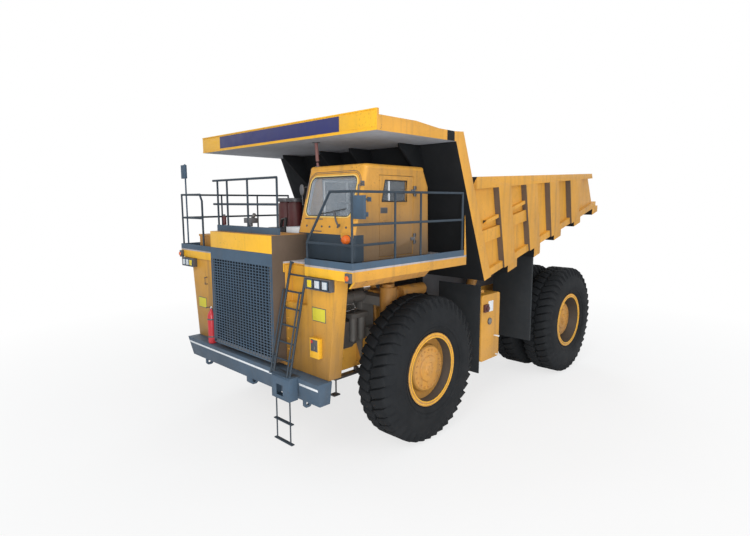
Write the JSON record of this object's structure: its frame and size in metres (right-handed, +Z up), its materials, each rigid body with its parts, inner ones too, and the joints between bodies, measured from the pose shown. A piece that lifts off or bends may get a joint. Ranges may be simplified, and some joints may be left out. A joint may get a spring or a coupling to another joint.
{
  "type": "rigid dump truck",
  "caption": "Rigid off-road dump truck with a left-hand cab, tipping load body with cab canopy, steered front wheels and twin rear wheels.",
  "frame": {"origin": "on the ground, under the middle of the truck's box", "axes": "+Z up, +Y from the front bumper to the tail, +X to the truck's left (cab) side"},
  "size_m": [5.4, 9.965, 5.7719],
  "materials": {
    "body_paint": "worn gloss paint",
    "trim_paint": "worn satin paint",
    "dark_paint": "dusty matte paint",
    "canopy_paint": "dusty paint",
    "tyre": "dusty rubber",
    "cast_iron": "oily cast iron",
    "chrome": "polished rod",
    "glass": "tinted glass",
    "grille": "satin paint",
    "maroon": "faded paint",
    "rubber": "matte rubber",
    "lamp": "clear lamp glass",
    "interior": "matte plastic"
  },
  "bodies": {
    "chassis": {"frame": "body_paint", "bumper": "trim_paint", "radiator_housing": "body_paint", "grille": "grille", "radiator": "dark_paint", "hood": "body_paint", "engine": "body_paint", "driveline": "cast_iron", "front_panels": "body_paint", "deck": "body_paint", "deck_supports": "body_paint", "handrails": "trim_paint", "ladder": "trim_paint", "cab_shell": "body_paint", "cab_roof": "body_paint", "struts": "body_paint", "rear_axle": "body_paint", "cab_glass": "glass", "cab_interior": "interior", "mirrors": "dark_paint", "lamps": "lamp", "air_cleaners": "maroon", "battery_box": "body_paint", "fuel_tank": "body_paint", "oil_tanks": "body_paint", "mudguards": "rubber"},
    "dump_body": {"body_flaps": "rubber", "dump_body": "body_paint", "canopy": "canopy_paint"},
    "cab_door": {"cab_door": "body_paint", "door_glass": "glass"},
    "knuckle_left": {"knuckle_left": "cast_iron"},
    "knuckle_right": {"knuckle_right": "cast_iron"},
    "tie_rod": {"tie_rod": "cast_iron"},
    "front_wheel_left": {"front_tyre_left": "tyre", "front_rim_left": "body_paint"},
    "front_wheel_right": {"front_tyre_right": "tyre", "front_rim_right": "body_paint"},
    "rear_wheels_left": {"rear_tyres_left": "tyre", "rear_rims_left": "body_paint"},
    "rear_wheels_right": {"rear_tyres_right": "tyre", "rear_rims_right": "body_paint"},
    "hoist_barrel_left": {"hoist_barrel_left": "body_paint"},
    "hoist_barrel_right": {"hoist_barrel_right": "body_paint"},
    "hoist_rod_left": {"hoist_rod_left": "chrome"},
    "hoist_rod_right": {"hoist_rod_right": "chrome"}
  },
  "joints": [
    {"name": "body_tip", "type": "hinge", "parent": "chassis", "child": "dump_body", "pos_m": [0, 4.0725, 2.25], "axis": [-1, 0, 0], "range_deg": [0, 47]},
    {"name": "cab_door_hinge", "type": "hinge", "parent": "chassis", "child": "cab_door", "pos_m": [2.17, -2.6025, 4.16], "axis": [0, 0, 1], "range_deg": [0, 30]},
    {"name": "steer_left", "type": "hinge", "parent": "chassis", "child": "knuckle_left", "pos_m": [1.35, -2.3775, 1.35], "axis": [0, 0, 1], "range_deg": [-32, 32]},
    {"name": "steer_right", "type": "hinge", "parent": "chassis", "child": "knuckle_right", "pos_m": [-1.35, -2.3775, 1.35], "axis": [0, 0, 1], "range_deg": [-32, 32]},
    {"name": "tie_rod_swing", "type": "hinge", "parent": "knuckle_left", "child": "tie_rod", "pos_m": [1.35, -1.8275, 0.83], "axis": [0, 0, 1], "range_deg": [-32, 32]},
    {"name": "front_wheel_left_spin", "type": "hinge", "parent": "knuckle_left", "child": "front_wheel_left", "pos_m": [2.14, -2.3775, 1.35], "axis": [1, 0, 0], "continuous": true},
    {"name": "rear_wheels_left_spin", "type": "hinge", "parent": "chassis", "child": "rear_wheels_left", "pos_m": [2.33, 3.1625, 1.35], "axis": [1, 0, 0], "continuous": true},
    {"name": "hoist_left_swing", "type": "hinge", "parent": "chassis", "child": "hoist_barrel_left", "pos_m": [0.84, 0.5225, 1.15], "axis": [-1, 0, 0], "range_deg": [0, 6.09]},
    {"name": "hoist_left_extend", "type": "slide", "parent": "hoist_barrel_left", "child": "hoist_rod_left", "axis": [0, 0.564, 0.8258], "range_m": [0, 1.852]},
    {"name": "front_wheel_right_spin", "type": "hinge", "parent": "knuckle_right", "child": "front_wheel_right", "pos_m": [-2.14, -2.3775, 1.35], "axis": [1, 0, 0], "continuous": true},
    {"name": "rear_wheels_right_spin", "type": "hinge", "parent": "chassis", "child": "rear_wheels_right", "pos_m": [-2.33, 3.1625, 1.35], "axis": [1, 0, 0], "continuous": true},
    {"name": "hoist_right_swing", "type": "hinge", "parent": "chassis", "child": "hoist_barrel_right", "pos_m": [-0.84, 0.5225, 1.15], "axis": [-1, 0, 0], "range_deg": [0, 6.09]},
    {"name": "hoist_right_extend", "type": "slide", "parent": "hoist_barrel_right", "child": "hoist_rod_right", "axis": [0, 0.564, 0.8258], "range_m": [0, 1.852]}
  ],
  "couplings": [
    {"joint": "steer_right", "follows": "steer_left", "ratio": 1},
    {"joint": "tie_rod_swing", "follows": "steer_left", "ratio": -1},
    {"joint": "hoist_left_swing", "follows": "body_tip", "ratio": 0.119},
    {"joint": "hoist_left_extend", "follows": "body_tip", "m_per_rad": 2.2517},
    {"joint": "hoist_right_swing", "follows": "body_tip", "ratio": 0.119},
    {"joint": "hoist_right_extend", "follows": "body_tip", "m_per_rad": 2.2517}
  ]
}
